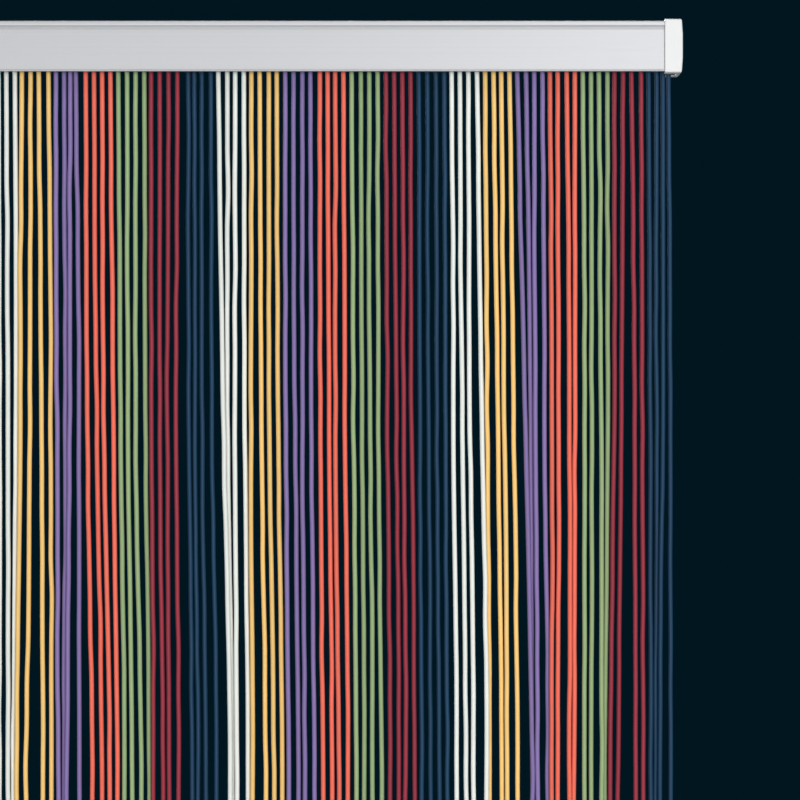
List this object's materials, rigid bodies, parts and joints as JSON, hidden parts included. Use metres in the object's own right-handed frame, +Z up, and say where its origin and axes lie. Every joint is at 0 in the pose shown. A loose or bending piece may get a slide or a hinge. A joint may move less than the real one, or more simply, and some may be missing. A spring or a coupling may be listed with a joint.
{
  "type": "string curtain with rail",
  "caption": "Doorway string curtain: smooth round cords in groups of one colour hang from a slim metal rail with plastic end caps.",
  "frame": {"origin": "middle of the rail's flat back face, where it lies against the wall or lintel", "axes": "+X along the rail to its right end, +Y into the wall, +Z up; the front faces -Y"},
  "size_m": [1.0082, 0.019, 2.2044],
  "materials": {
    "rail": "satin pale grey",
    "end_caps": "smooth moulded white",
    "cord_navy": "smooth round cord, soft sheen",
    "cord_burgundy": "smooth round cord, soft sheen",
    "cord_green": "smooth round cord, soft sheen",
    "cord_coral": "smooth round cord, soft sheen",
    "cord_purple": "smooth round cord, soft sheen",
    "cord_yellow": "smooth round cord, soft sheen",
    "cord_white": "smooth round cord, soft sheen"
  },
  "bodies": {
    "root": {"rail": "rail", "end_cap_right": "end_caps", "end_cap_left": "end_caps", "cords_01_navy": "cord_navy", "cords_02_burgundy": "cord_burgundy", "cords_03_green": "cord_green", "cords_04_coral": "cord_coral", "cords_05_purple": "cord_purple", "cords_06_yellow": "cord_yellow", "cords_07_white": "cord_white", "cords_08_navy": "cord_navy", "cords_09_burgundy": "cord_burgundy", "cords_10_green": "cord_green", "cords_11_coral": "cord_coral", "cords_12_purple": "cord_purple", "cords_13_yellow": "cord_yellow", "cords_14_white": "cord_white", "cords_15_navy": "cord_navy", "cords_16_burgundy": "cord_burgundy", "cords_17_green": "cord_green", "cords_18_coral": "cord_coral", "cords_19_purple": "cord_purple", "cords_20_yellow": "cord_yellow", "cords_21_white": "cord_white", "cords_22_navy": "cord_navy", "cords_23_burgundy": "cord_burgundy", "cords_24_green": "cord_green", "cords_25_coral": "cord_coral", "cords_26_purple": "cord_purple", "cords_27_yellow": "cord_yellow", "cords_28_white": "cord_white", "cords_29_navy": "cord_navy", "cords_30_burgundy": "cord_burgundy", "cords_31_green": "cord_green", "cords_32_coral": "cord_coral", "cords_33_purple": "cord_purple", "cords_34_yellow": "cord_yellow", "cords_35_white": "cord_white", "cords_36_navy": "cord_navy", "cords_37_burgundy": "cord_burgundy", "cords_38_green": "cord_green", "cords_39_coral": "cord_coral", "cords_40_purple": "cord_purple", "cords_41_yellow": "cord_yellow", "cords_42_white": "cord_white", "cords_43_navy": "cord_navy", "cords_44_burgundy": "cord_burgundy", "cords_45_green": "cord_green", "cords_46_coral": "cord_coral", "cords_47_purple": "cord_purple", "cords_48_yellow": "cord_yellow", "cords_49_white": "cord_white", "cords_50_navy": "cord_navy"}
  },
  "joints": []
}
